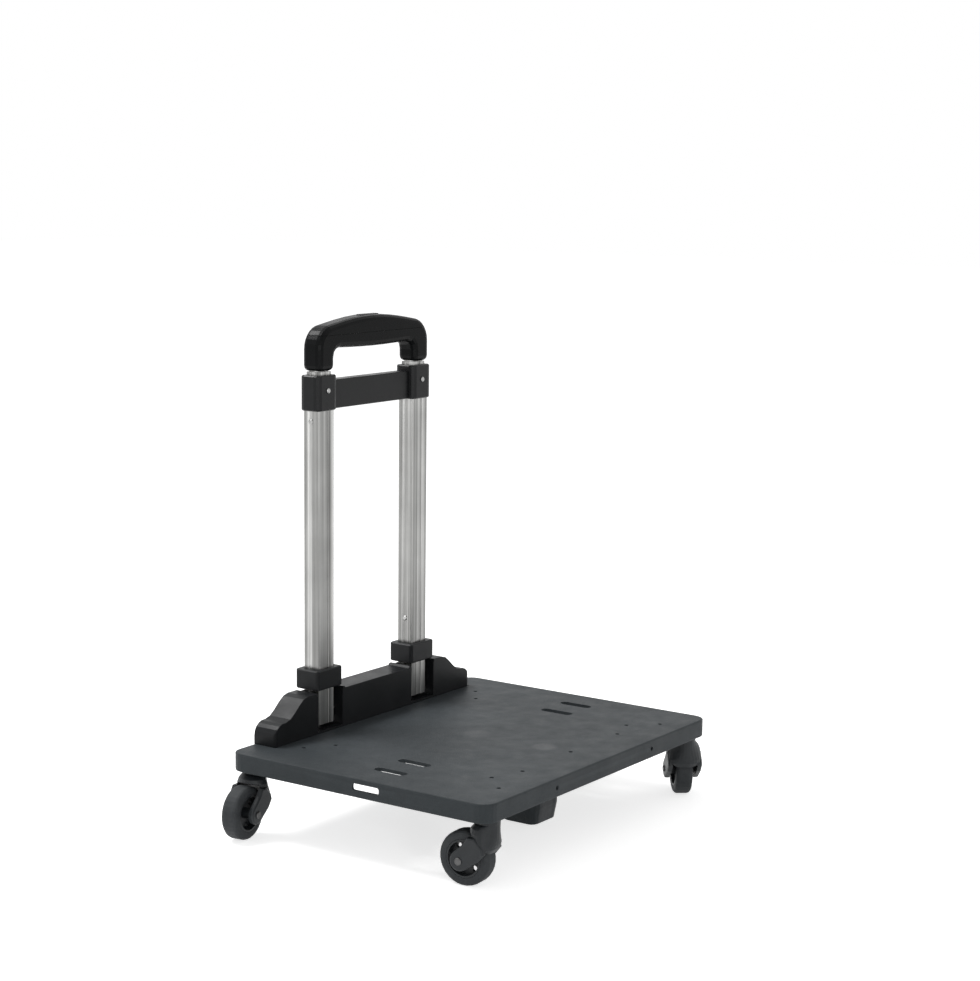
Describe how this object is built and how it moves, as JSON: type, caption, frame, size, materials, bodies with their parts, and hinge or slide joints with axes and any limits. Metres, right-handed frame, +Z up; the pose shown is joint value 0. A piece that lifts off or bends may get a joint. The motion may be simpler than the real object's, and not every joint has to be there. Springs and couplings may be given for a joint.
{
  "type": "folding platform trolley",
  "caption": "Compact platform trolley: moulded deck on swivel casters, with a telescopic twin-tube pull handle that folds flat onto the deck.",
  "frame": {"origin": "centre of the deck's flat top face", "axes": "+Z up out of the deck's top face; +X along the deck's long side and the handle bar; +Y from the front edge towards the edge that carries the handle"},
  "size_m": [0.5194, 0.3592, 0.5742],
  "materials": {
    "deck_plastic": "fine-grained charcoal polypropylene",
    "black_plastic": "satin black plastic",
    "tube_aluminium": "satin anodised extrusion",
    "steel": "bright plated steel",
    "tyre_rubber": "matt dark grey tread"
  },
  "bodies": {
    "chassis": {"deck": "deck_plastic", "base_bracket": "black_plastic", "bracket_screw_1": "steel", "bracket_screw_2": "steel", "bracket_screw_3": "steel", "bracket_screw_4": "steel", "pivot_pin_left": "steel", "pivot_pin_right": "steel", "caster_socket_front_left": "black_plastic", "caster_socket_rear_left": "black_plastic", "caster_socket_front_right": "black_plastic", "caster_socket_rear_right": "black_plastic"},
    "tower": {"latch_housing": "black_plastic", "outer_tube_left": "tube_aluminium", "tube_foot_left": "black_plastic", "collar_stop_left": "steel", "guide_rivet_left": "steel", "latch_rivet_left": "steel", "outer_tube_right": "tube_aluminium", "tube_foot_right": "black_plastic", "collar_stop_right": "steel", "guide_rivet_right": "steel", "latch_rivet_right": "steel"},
    "collar_left": {"lock_collar_left": "black_plastic"},
    "collar_right": {"lock_collar_right": "black_plastic"},
    "middle_stage": {"middle_tube_left": "tube_aluminium", "middle_foot_left": "black_plastic", "middle_tube_right": "tube_aluminium", "middle_foot_right": "black_plastic"},
    "inner_stage": {"inner_tube_left": "tube_aluminium", "inner_foot_left": "black_plastic", "inner_tube_right": "tube_aluminium", "inner_foot_right": "black_plastic", "handle_body": "black_plastic", "grip_cover": "black_plastic", "button_spring": "steel"},
    "release": {"release_button": "black_plastic", "release_yoke": "black_plastic", "push_rod_left": "steel", "push_rod_right": "steel"},
    "swivel_front_left": {"caster_fork_front_left": "black_plastic", "caster_stem_front_left": "steel", "caster_axle_front_left": "steel"},
    "wheel_front_left": {"caster_hub_front_left": "black_plastic", "caster_tyre_front_left": "tyre_rubber"},
    "swivel_rear_left": {"caster_fork_rear_left": "black_plastic", "caster_stem_rear_left": "steel", "caster_axle_rear_left": "steel"},
    "wheel_rear_left": {"caster_hub_rear_left": "black_plastic", "caster_tyre_rear_left": "tyre_rubber"},
    "swivel_front_right": {"caster_fork_front_right": "black_plastic", "caster_stem_front_right": "steel", "caster_axle_front_right": "steel"},
    "wheel_front_right": {"caster_hub_front_right": "black_plastic", "caster_tyre_front_right": "tyre_rubber"},
    "swivel_rear_right": {"caster_fork_rear_right": "black_plastic", "caster_stem_rear_right": "steel", "caster_axle_rear_right": "steel"},
    "wheel_rear_right": {"caster_hub_rear_right": "black_plastic", "caster_tyre_rear_right": "tyre_rubber"}
  },
  "joints": [
    {"name": "fold", "type": "hinge", "parent": "chassis", "child": "tower", "pos_m": [0, 0.1617, 0.0214], "axis": [1, 0, 0], "range_deg": [0, 90]},
    {"name": "collar_left", "type": "slide", "parent": "tower", "child": "collar_left", "axis": [0, 0, 1], "range_m": [0, 0.025]},
    {"name": "collar_right", "type": "slide", "parent": "tower", "child": "collar_right", "axis": [0, 0, 1], "range_m": [0, 0.025]},
    {"name": "middle_slide", "type": "slide", "parent": "tower", "child": "middle_stage", "axis": [0, 0, 1], "range_m": [0, 0.12]},
    {"name": "inner_slide", "type": "slide", "parent": "middle_stage", "child": "inner_stage", "axis": [0, 0, 1], "range_m": [0, 0.12]},
    {"name": "release_press", "type": "slide", "parent": "inner_stage", "child": "release", "axis": [0, 0, -1], "range_m": [0, 0.004], "stiffness_N_per_m": 600, "springref_m": -0.002, "deforming": ["button_spring"]},
    {"name": "swivel_front_left", "type": "hinge", "parent": "chassis", "child": "swivel_front_left", "pos_m": [-0.204, -0.1605, 0], "axis": [0, 0, 1], "continuous": true},
    {"name": "spin_front_left", "type": "hinge", "parent": "swivel_front_left", "child": "wheel_front_left", "pos_m": [-0.20622, -0.1351, -0.0666], "axis": [-0.9962, -0.0872, 0], "continuous": true},
    {"name": "swivel_rear_left", "type": "hinge", "parent": "chassis", "child": "swivel_rear_left", "pos_m": [-0.204, 0.1605, 0], "axis": [0, 0, 1], "continuous": true},
    {"name": "spin_rear_left", "type": "hinge", "parent": "swivel_rear_left", "child": "wheel_rear_left", "pos_m": [-0.22925, 0.15695, -0.0666], "axis": [0.1392, -0.9903, 0], "continuous": true},
    {"name": "swivel_front_right", "type": "hinge", "parent": "chassis", "child": "swivel_front_right", "pos_m": [0.204, -0.1605, 0], "axis": [0, 0, 1], "continuous": true},
    {"name": "spin_front_right", "type": "hinge", "parent": "swivel_front_right", "child": "wheel_front_right", "pos_m": [0.22353, -0.14411, -0.0666], "axis": [-0.6428, 0.766, 0], "continuous": true},
    {"name": "swivel_rear_right", "type": "hinge", "parent": "chassis", "child": "swivel_rear_right", "pos_m": [0.204, 0.1605, 0], "axis": [0, 0, 1], "continuous": true},
    {"name": "spin_rear_right", "type": "hinge", "parent": "swivel_rear_right", "child": "wheel_rear_right", "pos_m": [0.22925, 0.15695, -0.0666], "axis": [0.1392, 0.9903, 0], "continuous": true}
  ]
}
